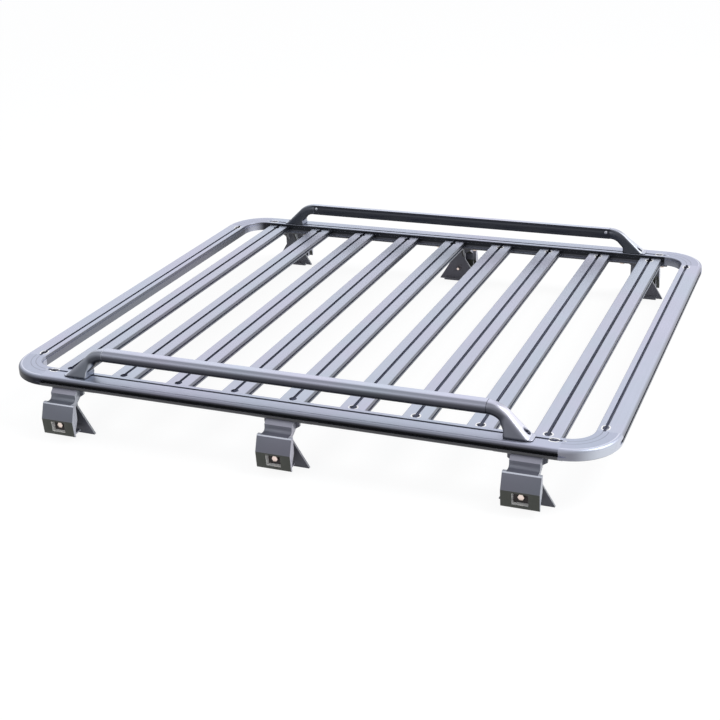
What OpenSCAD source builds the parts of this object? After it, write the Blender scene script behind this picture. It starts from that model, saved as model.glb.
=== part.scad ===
// Platform roof rack for an off-road vehicle with rain gutters.
// X runs along the vehicle, Y across it and Z up. The origin is at the middle of the
// rack, on the plane of its feet's soles.

/* [Platform] */
// Length of the platform over its two end rails
platform_length = 1508; // [1300:4:2000]
// Width of the platform over its two side rails
platform_width = 1350; // [1100:2:1600]
// Outer radius of the four corner castings
corner_radius = 114; // [96:1:150]
// Height of the platform's top above the soles of the feet
platform_top = 146; // [136:1:210]

/* [Rails] */
// Width of a rail's section, from its inner face to its outer face
rail_width = 58; // [52:1:70]
// Height of a rail's section
rail_height = 26; // [25:0.5:32]
// Radius of the rail's outer upper edge
rail_edge_radius = 9; // [6:0.5:10]
// Thickness of the rail's walls
rail_wall = 2.5; // [2:0.1:3]
// Width of the open mouth of a rail's slots
rail_slot = 7; // [6:0.5:8.5]
// Distance of a side rail's upper slot from the inner face
side_slot_inset = 15; // [13:0.5:17]
// Distance of an end rail's upper slot from the inner face
end_slot_inset = 17; // [14:0.5:19]
// How far the side rail's ledge reaches inward under the slats
ledge_depth = 14; // [10:1:20]
// Thickness of that ledge
ledge_thickness = 3; // [2.5:0.5:5]

/* [Slats] */
// Distance from the middle of an outer slat to the end rail's inner face
outer_slat_gap = 96; // [60:1:120]
// Width of a slat's upper face
slat_width = 62; // [56:1:80]
// Height of a slat's section
slat_height = 15.5; // [14.5:0.5:18]
// Width of the open mouth of a slat's slot
slat_slot = 8; // [6:0.5:9]
// Thickness of a slat's walls
slat_wall = 2.2; // [1.8:0.1:2.6]

/* [Guard rails] */
// Distance from the side rail's end to the joint of guard tube and bracket
guard_setback = 165; // [150:1:260]
// Height of the guard tube's middle above the platform's top
guard_rise = 55; // [45:1:80]
// Height of the guard tube's D-shaped section
guard_height = 30; // [26:1:34]
// Slope of the bracket's arm, in degrees below level
guard_slope = 43; // [38:1:48]

/* [Feet] */
// Distance from the side rail's end to the outermost flange bolt of the outer feet
foot_bolt_setback = 10; // [8:1:80]
// Length of the clamp along the rail
clamp_length = 86; // [76:1:100]
// Length of the clamp's neck, under the rail
neck_length = 68; // [58:1:72]
// How far the crease in the clamp's face stands out past the rail
clamp_overhang = 43; // [38:1:52]
// Height of the clamp's lower edge above the leg's sole
clamp_foot = 14; // [8:1:20]
// Length of the leg's flared foot from tip to tip, in the gutter
flare_length = 124; // [110:1:150]
// Thickness of the leg's plates
leg_plate = 6; // [5:0.5:8]

/* [Hidden] */
$fn = 64;

aluminium = [0.70, 0.71, 0.76];
dark_aluminium = [0.34, 0.35, 0.38];
black_steel = [0.12, 0.12, 0.13];
bright_steel = [0.78, 0.76, 0.72];

// Overlap of shapes that are joined, and overshoot of shapes that cut
eps = 1;

half_length = platform_length / 2;
half_width = platform_width / 2;
inner_x = half_length - rail_width;
inner_y = half_width - rail_width;
arc_x = half_length - corner_radius;
arc_y = half_width - corner_radius;
corner_inner_radius = corner_radius - rail_width;
rail_bottom = platform_top - rail_height;

// Slots of the rails: lips, channel behind the mouth, and notches for bolt heads
lip = 3;
channel_width = 14;
channel_depth = 8;
inner_edge_radius = 2;
side_mouth_drop = 9.6;
side_mouth_height = 8;
side_mouth_bottom = rail_height - side_mouth_drop - side_mouth_height;
side_mouth_middle = side_mouth_bottom + side_mouth_height / 2;
side_channel_reach = 3;
rail_chamfer = 4;
notch_length = 20;
notch_width = 14;
notch_setback = 8;

// Hollows of the rails: one between the two channels, one under the upper channel
upper_channel_wall = 2;
side_channel_wall = 5;
chamber_from = max(side_slot_inset, end_slot_inset) + channel_width / 2 + upper_channel_wall;
chamber_to = rail_width - lip - channel_depth - side_channel_wall;
low_chamber_top = rail_height - lip - channel_depth - rail_wall;

// Castings, with spigots that go into the rails' hollows
spigot_length = 45;
spigot_clearance = 0.3;
casting_wall = 3.5;
casting_rib = 3;
casting_ribs = [15:15:75];
groove_run_out = 110;
groove_run_out_depth = 3.5;

// Slats
slat_edge_radius = 3;
slat_lip_reach = 2;
slat_lip_height = 3.5;
slat_groove_height = 3.5;
slat_groove_depth = 4;
slat_channel_width = 17;
slat_channel_depth = slat_height - 2 * slat_wall;
slat_notch_width = 18;
slat_notch_length = 14;
slat_notch_setback = 15;
slat_bottom = rail_bottom + ledge_thickness;
middle_slat = 5;
slat_pitch = (inner_x - outer_slat_gap) / (middle_slat - 1);

// Guard rails: the tube's flat face looks inward
guard_half_length = arc_x - guard_setback;
guard_flat_y = inner_y + 1;
guard_straight = 13;
guard_wall = 2.5;

// Brackets of the guard rails, X counted from the joint with the tube
bend_radius = 40;
bend_middle = bend_radius + guard_height / 2;
bend_outer = bend_radius + guard_height;
bracket_foot_from = 41;
bracket_foot_depth = 42;
bracket_foot_height = 4;
bracket_foot_round = 10;
bracket_toe_length = 8.5;
bracket_bolt_setback = 10;
bracket_tongue = 30;
tongue_root = 3;
arm_top_x = bend_outer * sin(guard_slope);
arm_top_drop = bend_middle - bend_outer * cos(guard_slope);
arm_fall = guard_rise - bracket_foot_height - arm_top_drop;
bracket_foot_to = arm_top_x + arm_fall / tan(guard_slope);

// Feet: the leg's web hangs from a flange under the rail and stands in the gutter
web_setback = 15;
web_outer = half_width - web_setback;
web_inner = web_outer - leg_plate;
flange_half_length = 75;
flange_setback = 5;
flange_inner = inner_y + flange_setback;
flange_under = rail_bottom - leg_plate;
leg_shoulder = 44;
leg_shoulder_drop = 16;
leg_waist = 20;
leg_waist_drop = 32;
leg_flare_height = 70;
leg_tip_height = 2;
leg_rib_x = 15;
leg_rib_drop = 46;
sole_depth = 18;
sole_setback = 17;

// The clamp's section: neck, step, crease and lip, heights counted from its lower edge
clamp_seat_gap = 1;
clamp_top = rail_bottom - clamp_seat_gap - clamp_foot;
clamp_face = half_width + clamp_overhang;
neck_setback = 37;
neck_chamfer = 11;
neck_chamfer_drop = 9.5;
neck_fillet = 9;
step_drop = 25.5;
step_setback = 14;
step_edge = 3;
crease_height = 41.5;
lower_slant = 3;
toe_radius = 5;
gutter_room = 35;
lip_reach = 20;
lip_height = 4;
bridge_height = 23;
bridge_fall = 21;
side_trim = 0.5;
taper_height = 40;
taper_run = 14;
taper_foot = 11;
pocket_width = 36;
pocket_depth = 15;
pocket_bottom = 10;
pocket_top = 37;
pocket_floor = clamp_face - pocket_depth;

// Bolts of the feet
bolt_radius = 4;
bolt_bore = 4.25;
bolt_end = 8;
head_radius = 7.5;
head_height = 5.5;
clamp_bolt_height = 25;
clamp_bolt_end = 12;
flange_bolt_inset = 17;
flange_bolt_x = flange_half_length - flange_bolt_inset;
flange_bolt_y = inner_y + flange_bolt_inset;
foot_spacing = arc_x - foot_bolt_setback - flange_bolt_x;

// Outline of a rail without its slots, u outward from the inner face and v up
module rail_outline() {
  r = rail_edge_radius;
  i = inner_edge_radius;
  difference() {
    union() {
      translate([i, 0]) square([rail_width - r - i, rail_height]);
      square([rail_width, rail_height - r]);
      translate([rail_width - r, rail_height - r]) circle(r);
      translate([i, rail_height - i]) circle(i);
    }
    translate([rail_width, 0]) rotate(45) square(rail_chamfer, center = true);
  }
}

// A slot of the T kind, its mouth at v = 0 and its channel below
module t_slot(mouth, width, depth, lips) {
  translate([-mouth / 2, -lips - eps]) square([mouth, lips + 2 * eps]);
  translate([-width / 2, -lips - depth]) square([width, depth]);
}

// Section of a rail with its slots and its two closed hollows
module rail_section(slot_inset) {
  difference() {
    rail_outline();
    translate([slot_inset, rail_height]) t_slot(rail_slot, channel_width, channel_depth, lip);
    translate([rail_width, side_mouth_middle]) rotate(-90)
      t_slot(side_mouth_height, side_mouth_height + 2 * side_channel_reach, channel_depth, lip);
    translate([chamber_from, rail_wall])
      square([chamber_to - chamber_from, rail_height - 2 * rail_wall]);
    translate([rail_wall, rail_wall])
      square([chamber_from - 2 * rail_wall, low_chamber_top - rail_wall]);
  }
}

// Extrudes a section along X, its u toward +Y
module along_x(length) {
  translate([-length / 2, 0, 0]) rotate([90, 0, 90]) linear_extrude(length) children();
}

// Extrudes a section along Y, its u toward +X
module along_y(length) {
  translate([0, length / 2, 0]) rotate([90, 0, 0]) linear_extrude(length) children();
}

// Wide round-ended opening in a slot's lips, where a bolt head goes in, along X
module notch(length, width, depth) {
  straight = length - width;
  reach = max(straight, 0) / 2;
  translate([0, 0, -depth]) linear_extrude(depth + eps) {
    square([2 * reach + eps / 10, width], center = true);
    for (s = [-1, 1]) translate([s * reach, 0]) circle(width / 2);
  }
}

module side_rail() {
  length = 2 * arc_x;
  difference() {
    translate([0, inner_y, rail_bottom]) along_x(length) union() {
      rail_section(side_slot_inset);
      translate([-ledge_depth, 0]) square([ledge_depth + eps, ledge_thickness]);
    }
    for (s = [-1, 1])
      translate([s * (arc_x - notch_setback - notch_length / 2), inner_y + side_slot_inset, platform_top])
        notch(notch_length, notch_width, lip + eps);
    for (x = [-1, 0, 1], s = [-1, 1])
      translate([x * foot_spacing + s * flange_bolt_x, flange_bolt_y, rail_bottom - eps])
        cylinder(r = bolt_bore, h = rail_wall + 2 * eps);
  }
}

module end_rail() {
  length = 2 * arc_y;
  difference() {
    translate([inner_x, 0, rail_bottom]) along_y(length) rail_section(end_slot_inset);
    for (s = [-1, 1])
      translate([inner_x + end_slot_inset, s * (arc_y - notch_setback - notch_length / 2), platform_top])
        rotate(90) notch(notch_length, notch_width, lip + eps);
  }
}

// Quarter ring with the given section, about the corner's centre
module quarter(from_radius) {
  rotate_extrude(angle = 90, $fn = 128) translate([from_radius, 0]) children();
}

module corner_shell() {
  difference() {
    quarter(corner_inner_radius) rail_outline();
    quarter(corner_inner_radius) translate([casting_wall, -eps])
      square([rail_width - 2 * casting_wall, rail_height - casting_wall + eps]);
  }
}

module corner_ribs() {
  intersection() {
    quarter(corner_inner_radius) rail_outline();
    union() {
      for (a = casting_ribs) rotate(a) translate([0, -casting_rib / 2, 0])
        cube([corner_radius + eps, casting_rib, rail_height]);
      cube([corner_radius + eps, 2 * casting_rib, rail_height]);
      cube([2 * casting_rib, corner_radius + eps, rail_height]);
    }
  }
}

// A spigot that reaches from the casting's end into the hollow of a rail, along -X
module spigot() {
  c = spigot_clearance;
  height = rail_height - 2 * rail_wall - 2 * c;
  translate([-spigot_length, corner_inner_radius + chamber_from + c, rail_wall + c])
    cube([spigot_length + eps, chamber_to - chamber_from - 2 * c, height]);
}

// A groove that runs out of the casting's outer face past the joint
module fading_groove() {
  translate([0, corner_radius + groove_run_out - groove_run_out_depth, side_mouth_bottom])
    cylinder(r = groove_run_out, h = side_mouth_height, $fn = 128);
}

module corner() {
  translate([arc_x, arc_y, rail_bottom]) difference() {
    union() {
      corner_shell();
      corner_ribs();
      spigot();
      mirror([1, -1, 0]) spigot();
    }
    fading_groove();
    mirror([1, -1, 0]) fading_groove();
  }
}

module slat_outline() {
  r = slat_edge_radius;
  upper = slat_lip_height + slat_groove_height;
  lip_width = slat_width + 2 * slat_lip_reach;
  inner_width = slat_width - 2 * slat_groove_depth;
  translate([-lip_width / 2, 0]) square([lip_width, slat_lip_height]);
  translate([-inner_width / 2, 0]) square([inner_width, slat_height]);
  translate([-slat_width / 2, upper]) square([slat_width, slat_height - upper - r]);
  translate([-slat_width / 2 + r, upper]) square([slat_width - 2 * r, slat_height - upper]);
  for (s = [-1, 1]) translate([s * (slat_width / 2 - r), slat_height - r]) circle(r);
}

module slat_section() {
  w = slat_wall;
  chamber_in = slat_channel_width / 2 + w;
  chamber_out = slat_width / 2 - slat_groove_depth - w;
  difference() {
    slat_outline();
    translate([0, slat_height]) t_slot(slat_slot, slat_channel_width, slat_channel_depth, w);
    for (s = [-1, 1]) translate([s * (chamber_in + chamber_out) / 2, slat_height / 2])
      square([chamber_out - chamber_in, slat_height - 2 * w], center = true);
  }
}

module slat(number) {
  length = 2 * inner_y;
  notch_y = inner_y - slat_notch_setback - slat_notch_length / 2;
  translate([(number - middle_slat) * slat_pitch, 0, slat_bottom]) difference() {
    along_y(length) slat_section();
    for (s = [-1, 1]) translate([0, s * notch_y, slat_height])
      rotate(90) notch(slat_notch_length, slat_notch_width, slat_wall + eps);
  }
}

// D-shaped section of the guard tube: u outward from its flat face, v about its middle
module guard_outline(shrink = 0) {
  r = guard_height / 2 - shrink;
  translate([shrink, -r]) square([guard_straight - shrink, 2 * r]);
  translate([guard_straight, 0]) circle(r);
}

module guard_tube() {
  translate([0, guard_flat_y, platform_top + guard_rise]) along_x(2 * guard_half_length)
    difference() {
      guard_outline();
      guard_outline(guard_wall);
    }
}

// The bend turns about a level axis across the rack, under the tube's lower edge
module bracket_bend() {
  translate([0, 0, -bend_middle]) rotate([90, 0, 0]) mirror([0, 0, 1])
    rotate(90 - guard_slope)
      rotate_extrude(angle = guard_slope, $fn = 128)
        translate([bend_middle, 0]) rotate(90) mirror([0, 1]) guard_outline();
}

// The arm runs from just inside the bend's end down to a sole with rounded corners
module bracket_arm() {
  r = bracket_foot_round;
  from = bracket_foot_from - 2 * eps;
  start = guard_slope - 0.4;
  inset = 0.3;
  hull() {
    translate([0, 0, -bend_middle]) rotate([0, start, 0]) translate([0, 0, bend_middle])
      rotate([90, 0, 90]) linear_extrude(eps / 10) guard_outline(inset, $fn = 32);
    for (x = [from + r, bracket_foot_to - r], y = [r, bracket_foot_depth - r])
      translate([x, y, -guard_rise]) cylinder(r = r, h = bracket_foot_height, $fn = 32);
  }
}

// Low toe with rounded corners, past the arm's lower end
module bracket_toe() {
  r = bracket_foot_round;
  depth = bracket_foot_depth - 2 * eps;
  height = bracket_foot_height - eps;
  translate([bracket_foot_to, eps, -guard_rise]) {
    translate([-2 * r, 0, 0]) cube([r + bracket_toe_length, depth, height]);
    translate([-r, r, 0]) cube([r + bracket_toe_length, depth - 2 * r, height]);
    for (y = [r, depth - r]) translate([bracket_toe_length - r, y, 0]) cylinder(r = r, h = height);
  }
}

// What is cut away under the arm, so that the foot's inner end stands upright
module bracket_undercut() {
  bend_end = bend_radius * sin(guard_slope);
  bend_drop = bend_middle - bend_radius * cos(guard_slope) + eps;
  foot_drop = bend_drop + (bracket_foot_from - bend_end) * tan(guard_slope);
  translate([0, -bracket_foot_depth, 0]) rotate([90, 0, 0]) mirror([0, 0, 1])
    linear_extrude(3 * bracket_foot_depth)
      polygon([
        [bend_end, -bend_drop], [bracket_foot_from, -foot_drop],
        [bracket_foot_from, -guard_rise - eps], [bend_end, -guard_rise - eps]
      ]);
}

// Tongue that goes into the guard tube
module bracket_tongue_bar() {
  translate([-bracket_tongue, 0, 0]) rotate([90, 0, 90])
    linear_extrude(bracket_tongue + tongue_root) guard_outline(guard_wall + spigot_clearance);
}

// Bore for the bolt into the rail's slot, with room for its head
module bracket_bolt_bore() {
  bolt_x = bracket_foot_to - bracket_bolt_setback;
  bolt_y = inner_y + side_slot_inset - guard_flat_y;
  translate([bolt_x, bolt_y, -guard_rise]) {
    translate([0, 0, -eps]) cylinder(r = bolt_bore, h = guard_height);
    translate([0, 0, bracket_foot_height]) cylinder(r = head_radius, h = guard_height);
  }
}

module guard_bracket() {
  translate([guard_half_length, guard_flat_y, platform_top + guard_rise]) difference() {
    union() {
      bracket_tongue_bar();
      bracket_bend();
      bracket_arm();
      bracket_toe();
    }
    bracket_undercut();
    bracket_bolt_bore();
  }
}

// Section of the leg's flange and web, a bent plate: u along Y and v up
module leg_section() {
  polygon([
    [flange_inner, rail_bottom], [web_outer, rail_bottom], [web_outer, 0], [web_inner, 0],
    [web_inner, flange_under], [flange_inner, flange_under]
  ]);
}

// Front of the leg: flange, shoulders, a waist, and a flare down to its pointed ends
module leg_outline() {
  half_flare = flare_length / 2;
  right_side = [
    [half_flare, -eps], [half_flare, leg_tip_height],
    [leg_waist, leg_flare_height], [leg_waist, rail_bottom - leg_waist_drop],
    [leg_shoulder, rail_bottom - leg_shoulder_drop], [leg_shoulder, flange_under - eps],
    [flange_half_length, flange_under - eps], [flange_half_length, rail_bottom + eps]
  ];
  left_side = [for (i = [len(right_side) - 1:-1:0]) [-right_side[i][0], right_side[i][1]]];
  polygon(concat(right_side, left_side));
}

// A three-cornered rib between the leg's flange and its web
module leg_rib() {
  translate([-leg_plate / 2, 0, 0]) rotate([90, 0, 90]) linear_extrude(leg_plate)
    polygon([
      [flange_inner + leg_plate, flange_under + eps], [web_inner + eps, flange_under + eps],
      [web_inner + eps, rail_bottom - leg_rib_drop]
    ]);
}

// The sole, welded inside the web's lower edge
module leg_sole() {
  half_sole = flare_length / 2 - sole_setback;
  translate([-half_sole, web_outer - sole_depth, 0])
    cube([2 * half_sole, sole_depth - leg_plate + eps, leg_plate]);
}

module leg() {
  length = 2 * max(flange_half_length, flare_length / 2) + 2 * eps;
  difference() {
    union() {
      intersection() {
        along_x(length) leg_section();
        translate([0, flange_inner - eps, 0]) rotate([90, 0, 0]) mirror([0, 0, 1])
          linear_extrude(web_outer - flange_inner + 2 * eps) leg_outline();
      }
      leg_sole();
      for (s = [-1, 1]) translate([s * leg_rib_x, 0, 0]) leg_rib();
    }
    for (s = [-1, 1]) translate([s * flange_bolt_x, flange_bolt_y, flange_under - eps])
      cylinder(r = bolt_bore, h = leg_plate + 2 * eps);
    translate([0, web_inner - eps, clamp_foot + clamp_bolt_height]) rotate([-90, 0, 0])
      cylinder(r = bolt_bore, h = leg_plate + 2 * eps);
  }
}

// Points of an arc about [cu, cv], from one angle to another in even steps
function arc(cu, cv, r, from, to, steps = 6) =
  [for (i = [0:steps]) let (a = from + (to - from) * i / steps) [cu + r * cos(a), cv + r * sin(a)]];

// Section of the clamp: u outward from the leg's web, v up from the clamp's lower edge
module clamp_section() {
  face = clamp_face - web_outer;
  neck = face - neck_setback;
  step = clamp_top - step_drop;
  lean = atan2(step_setback, step - crease_height);
  edge_fall = step - step_edge - crease_height;
  edge = face - (step_edge + edge_fall * sin(lean)) / cos(lean);
  polygon(concat(
    [[0, clamp_top], [neck - neck_chamfer, clamp_top], [neck, clamp_top - neck_chamfer_drop]],
    arc(neck + neck_fillet, step + neck_fillet, neck_fillet, 180, 270),
    arc(edge, step - step_edge, step_edge, 90, lean),
    [[face, crease_height]],
    arc(face - lower_slant - toe_radius, toe_radius, toe_radius, 0, -90),
    [
      [gutter_room - lip_reach, 0], [gutter_room - lip_reach, lip_height],
      [gutter_room, lip_height], [gutter_room, clamp_top - bridge_height - bridge_fall],
      [0, clamp_top - bridge_height]
    ]
  ));
}

// What is cut away beside the neck, where the clamp's ends stand past it and taper downward
module clamp_side_cut() {
  back = gutter_room + side_trim;
  top = clamp_top - step_drop - side_trim;
  face = clamp_face - web_outer;
  polygon([
    [-eps, -eps], [-eps, clamp_top + eps], [face, clamp_top + eps], [face, top], [back, top],
    [back, taper_height], [back + taper_run, taper_foot], [back + taper_run, -eps]
  ]);
}

module clamp() {
  end_length = (clamp_length - neck_length) / 2 + eps;
  translate([0, 0, clamp_foot]) difference() {
    translate([0, web_outer, 0]) along_x(clamp_length) clamp_section();
    for (s = [-1, 1]) translate([s * (neck_length + end_length) / 2, web_outer, 0])
      along_x(end_length) clamp_side_cut();
    translate([-pocket_width / 2, pocket_floor, pocket_bottom])
      cube([pocket_width, pocket_depth + eps, pocket_top - pocket_bottom]);
    translate([0, web_outer, clamp_bolt_height]) rotate([-90, 0, 0])
      cylinder(r = bolt_bore, h = clamp_face - web_outer);
  }
}

// A hexagon bolt with its head at z = 0 and up, and its shank below
module bolt(length) {
  cylinder(r = head_radius, h = head_height, $fn = 6);
  translate([0, 0, -length]) cylinder(r = bolt_radius, h = length + eps);
}

module foot_bolts() {
  translate([0, pocket_floor, clamp_foot + clamp_bolt_height]) rotate([-90, 0, 0])
    bolt(pocket_floor - web_inner + clamp_bolt_end);
  for (s = [-1, 1]) translate([s * flange_bolt_x, flange_bolt_y, flange_under])
    mirror([0, 0, 1]) bolt(leg_plate + rail_wall + bolt_end);
}

// Puts a far right piece in place at any side and corner
module placed(side, end = 1) {
  mirror([end < 0 ? 1 : 0, 0, 0]) mirror([0, side < 0 ? 1 : 0, 0]) children();
}

module at_foot(place) {
  translate([place * foot_spacing, 0, 0]) children();
}

near = -1;
far = 1;
left = -1;
middle = 0;
right = 1;

module side_rail_near() { color(aluminium) placed(near) side_rail(); }
module side_rail_far() { color(aluminium) placed(far) side_rail(); }
module end_rail_left() { color(aluminium) placed(far, left) end_rail(); }
module end_rail_right() { color(aluminium) placed(far, right) end_rail(); }
module corner_near_left() { color(aluminium) placed(near, left) corner(); }
module corner_near_right() { color(aluminium) placed(near, right) corner(); }
module corner_far_left() { color(aluminium) placed(far, left) corner(); }
module corner_far_right() { color(aluminium) placed(far, right) corner(); }
module any_slat(number) { color(aluminium) slat(number); }
module guard_tube_near() { color(aluminium) placed(near) guard_tube(); }
module guard_tube_far() { color(aluminium) placed(far) guard_tube(); }
module guard_bracket_near_left() { color(aluminium) placed(near, left) guard_bracket(); }
module guard_bracket_near_right() { color(aluminium) placed(near, right) guard_bracket(); }
module guard_bracket_far_left() { color(aluminium) placed(far, left) guard_bracket(); }
module guard_bracket_far_right() { color(aluminium) placed(far, right) guard_bracket(); }
module any_leg(side, place) { color(black_steel) at_foot(place) placed(side) leg(); }
module any_clamp(side, place) { color(dark_aluminium) at_foot(place) placed(side) clamp(); }
module any_foot_bolts(side, place) { color(bright_steel) at_foot(place) placed(side) foot_bolts(); }

side_rail_near();
side_rail_far();
end_rail_left();
end_rail_right();
corner_near_left();
corner_near_right();
corner_far_left();
corner_far_right();
any_slat(1);  // slat_1
any_slat(2);  // slat_2
any_slat(3);  // slat_3
any_slat(4);  // slat_4
any_slat(5);  // slat_5
any_slat(6);  // slat_6
any_slat(7);  // slat_7
any_slat(8);  // slat_8
any_slat(9);  // slat_9
guard_tube_near();
guard_tube_far();
guard_bracket_near_left();
guard_bracket_near_right();
guard_bracket_far_left();
guard_bracket_far_right();
any_leg(near, left);  // leg_near_left
any_leg(near, middle);  // leg_near_middle
any_leg(near, right);  // leg_near_right
any_leg(far, left);  // leg_far_left
any_leg(far, middle);  // leg_far_middle
any_leg(far, right);  // leg_far_right
any_clamp(near, left);  // clamp_near_left
any_clamp(near, middle);  // clamp_near_middle
any_clamp(near, right);  // clamp_near_right
any_clamp(far, left);  // clamp_far_left
any_clamp(far, middle);  // clamp_far_middle
any_clamp(far, right);  // clamp_far_right
any_foot_bolts(near, left);  // foot_bolts_near_left
any_foot_bolts(near, middle);  // foot_bolts_near_middle
any_foot_bolts(near, right);  // foot_bolts_near_right
any_foot_bolts(far, left);  // foot_bolts_far_left
any_foot_bolts(far, middle);  // foot_bolts_far_middle
any_foot_bolts(far, right);  // foot_bolts_far_right
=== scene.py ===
import math

import bmesh
import bpy
from mathutils import Matrix, Vector


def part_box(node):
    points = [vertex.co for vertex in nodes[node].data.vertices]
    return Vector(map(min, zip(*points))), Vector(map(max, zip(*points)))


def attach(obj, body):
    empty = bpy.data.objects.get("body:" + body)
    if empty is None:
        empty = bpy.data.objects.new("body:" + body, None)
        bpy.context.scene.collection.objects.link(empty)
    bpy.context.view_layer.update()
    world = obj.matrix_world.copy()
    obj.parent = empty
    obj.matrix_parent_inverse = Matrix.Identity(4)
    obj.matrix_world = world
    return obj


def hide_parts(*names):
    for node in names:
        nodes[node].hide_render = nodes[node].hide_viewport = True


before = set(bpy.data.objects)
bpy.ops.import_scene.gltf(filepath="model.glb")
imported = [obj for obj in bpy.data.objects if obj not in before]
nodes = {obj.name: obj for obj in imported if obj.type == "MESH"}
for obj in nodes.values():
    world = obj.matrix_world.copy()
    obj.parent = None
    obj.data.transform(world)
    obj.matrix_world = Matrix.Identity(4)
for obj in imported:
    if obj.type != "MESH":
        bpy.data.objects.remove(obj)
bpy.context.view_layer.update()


# ---------------------------------------------------------------- side rails
# The two long rails are satin anodised aluminium extrusions. Their upper face is brushed, and painted
# light; the outer side is painted in shade, darker still in its groove. They are sawn to length, and the
# openings for bolt heads are milled into the ends of the upper slot, their walls with a painted highlight.
PLATFORM_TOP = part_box("side_rail_near")[1][2]


def srgb(r, g, b):
    """A colour as it is read off a screen, 0 to 255, in the shader's linear values."""
    return tuple((c / 255 / 12.92 if c <= 10 else ((c / 255 + 0.055) / 1.055) ** 2.4)
                 for c in (r, g, b)) + (1.0,)


def fill(tree, made, inputs):
    """Sets a node's inputs to values, or links them from sockets."""
    for name, value in inputs.items():
        if isinstance(value, bpy.types.NodeSocket):
            tree.links.new(value, made.inputs[name])
        else:
            made.inputs[name].default_value = value
    return made


def put(tree, kind, inputs=None, **settings):
    """Adds a node."""
    made = tree.nodes.new(kind)
    for name, value in settings.items():
        setattr(made, name, value)
    return fill(tree, made, inputs or {})


def maths(tree, operation, *values):
    """A Math node's result."""
    return put(tree, "ShaderNodeMath", dict(enumerate(values)), operation=operation).outputs[0]


def vector_maths(tree, operation, *values):
    """A Vector Math node's result."""
    return put(tree, "ShaderNodeVectorMath", dict(enumerate(values)), operation=operation).outputs[0]


def parts_of(tree, vector):
    """A vector's X, Y and Z."""
    return put(tree, "ShaderNodeSeparateXYZ", {0: vector}).outputs


def length_of(tree, vector):
    """A vector's length."""
    return put(tree, "ShaderNodeVectorMath", {0: vector}, operation="LENGTH").outputs["Value"]


def scaled(tree, vector, factor):
    """A vector or a colour times a number."""
    return put(tree, "ShaderNodeVectorMath", {0: vector, "Scale": factor}, operation="SCALE").outputs[0]


def facing_of(tree):
    """X, Y and Z of the direction that the shaded surface faces."""
    return parts_of(tree, put(tree, "ShaderNodeNewGeometry").outputs["Normal"])


def object_place(tree):
    """The shaded point in object coordinates."""
    return put(tree, "ShaderNodeTexCoord").outputs["Object"]


def ramp(tree, value, start, end, kind="LINEAR"):
    """0 at the start and 1 at the end of a range."""
    return put(tree, "ShaderNodeMapRange", {"Value": value, "From Min": start, "From Max": end},
               interpolation_type=kind).outputs[0]


def blended(tree, share, first, second):
    """Colour that goes from the first to the second."""
    made = put(tree, "ShaderNodeMix", {0: share, 6: first, 7: second}, data_type="RGBA")
    return made.outputs[2]


def new_group(name, inputs, outputs):
    """An empty shader group with named sockets: its tree, input node and output node."""
    tree = bpy.data.node_groups.new(name, "ShaderNodeTree")
    for direction, sockets in (("INPUT", inputs), ("OUTPUT", outputs)):
        for label, kind, start in sockets:
            socket = tree.interface.new_socket(label, in_out=direction, socket_type="NodeSocket" + kind)
            if start is not None:
                socket.default_value = start
    return tree, tree.nodes.new("NodeGroupInput"), tree.nodes.new("NodeGroupOutput")


def use(tree, group, inputs=None):
    """Places a shader group in a material."""
    made = tree.nodes.new("ShaderNodeGroup")
    made.node_tree = group
    return fill(tree, made, inputs or {})


# Painted light and shade by facing: a light colour painted on faces that look up, others on rounded
# shoulders, painted shade on upright sides and underneath, and painted light on what looks to the right along
# the rack.
# The levels are the Z of a normal at which the shoulder ends and the upper face begins.
ROUNDING_POWER = 1.6
facing_light_and_shade, g_in, g_out = new_group(
    "facing_light_and_shade",
    [("Upper", "Color", None), ("Shoulder", "Color", None), ("Side", "Color", None), ("Under", "Color", None),
     ("Lit Shoulder", "Color", None), ("Lit Side", "Color", None),
     ("Shoulder Level", "Float", 0.71), ("Edge Level", "Float", 0.71)],
    [("Color", "Color", None)])
tree = facing_light_and_shade
facing = facing_of(tree)
toward_end = ramp(tree, facing["X"], 0.2, 0.8, "SMOOTHSTEP")
side = blended(tree, toward_end, g_in.outputs["Side"], g_in.outputs["Lit Side"])
shoulder = blended(tree, toward_end, g_in.outputs["Shoulder"], g_in.outputs["Lit Shoulder"])
lower = blended(tree, ramp(tree, facing["Z"], -0.01, -0.6, "SMOOTHSTEP"), side, g_in.outputs["Under"])
rounding = maths(tree, "POWER", ramp(tree, facing["Z"], 0.0, g_in.outputs["Shoulder Level"]), ROUNDING_POWER)
middle = blended(tree, rounding, lower, shoulder)
upper = blended(tree, ramp(tree, facing["Z"], g_in.outputs["Edge Level"], 1.0), middle, g_in.outputs["Upper"])
tree.links.new(upper, g_out.inputs["Color"])

# Brushed grain: fine streaks along the axis with the smallest stretch
brushed_grain, g_in, g_out = new_group(
    "brushed_grain",
    [("Stretch", "Vector", (3.0, 400.0, 400.0)), ("Contrast", "Float", 0.1)],
    [("Tone", "Float", None), ("Height", "Float", None)])
tree = brushed_grain
place = object_place(tree)
streaks = put(tree, "ShaderNodeTexNoise", {
    "Vector": vector_maths(tree, "MULTIPLY", place, g_in.outputs["Stretch"]),
    "Scale": 1.0, "Detail": 3.0, "Roughness": 0.6}).outputs["Fac"]
swing = maths(tree, "MULTIPLY", maths(tree, "SUBTRACT", streaks, 0.5), g_in.outputs["Contrast"])
tree.links.new(maths(tree, "ADD", swing, 1.0), g_out.inputs["Tone"])
tree.links.new(streaks, g_out.inputs["Height"])

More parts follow.
